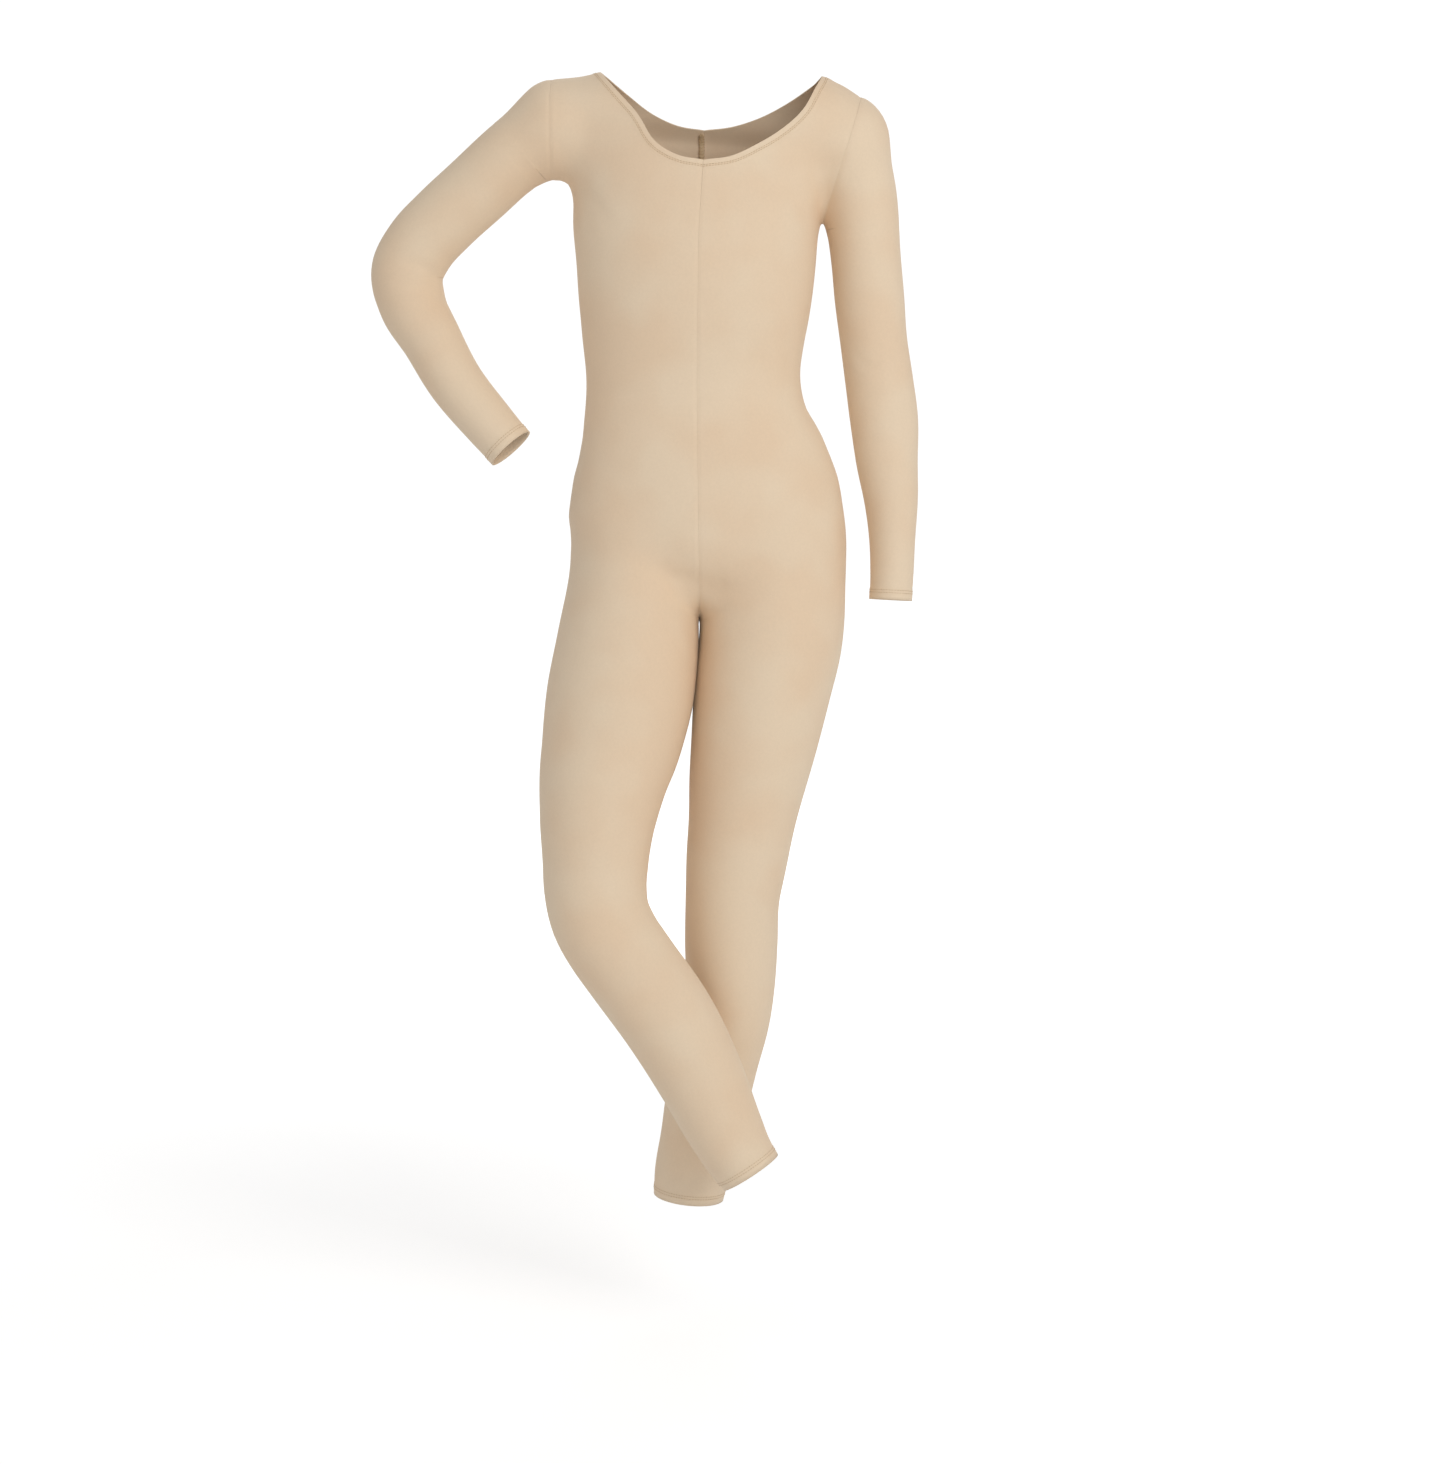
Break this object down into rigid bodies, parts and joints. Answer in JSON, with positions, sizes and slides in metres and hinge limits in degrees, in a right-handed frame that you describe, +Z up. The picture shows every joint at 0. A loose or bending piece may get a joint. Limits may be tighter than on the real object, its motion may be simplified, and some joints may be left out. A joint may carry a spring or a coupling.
{
  "type": "unitard",
  "caption": "Long-sleeved, ankle-length stretch unitard in pale beige knit, hollow, in a worn pose with one sleeve bent and the legs crossed",
  "frame": {"origin": "middle of the neck opening, level with the shoulder seams, where the garment is held up", "axes": "+Z up along the garment from the ankles to the shoulders, +X towards the garment's left sleeve, -Y towards its front"},
  "size_m": [0.5752, 0.2212, 1.2057],
  "materials": {
    "beige_knit_front_right": "matte stretch tricot knit",
    "beige_knit_front_left": "matte stretch tricot knit",
    "beige_knit_back_right": "matte stretch tricot knit",
    "beige_knit_back_left": "matte stretch tricot knit",
    "beige_knit_sleeve_right": "matte stretch tricot knit",
    "beige_knit_sleeve_left": "matte stretch tricot knit"
  },
  "bodies": {
    "root": {"front_right": "beige_knit_front_right", "front_left": "beige_knit_front_left", "back_right": "beige_knit_back_right", "back_left": "beige_knit_back_left", "sleeve_right": "beige_knit_sleeve_right", "sleeve_left": "beige_knit_sleeve_left"}
  },
  "joints": []
}
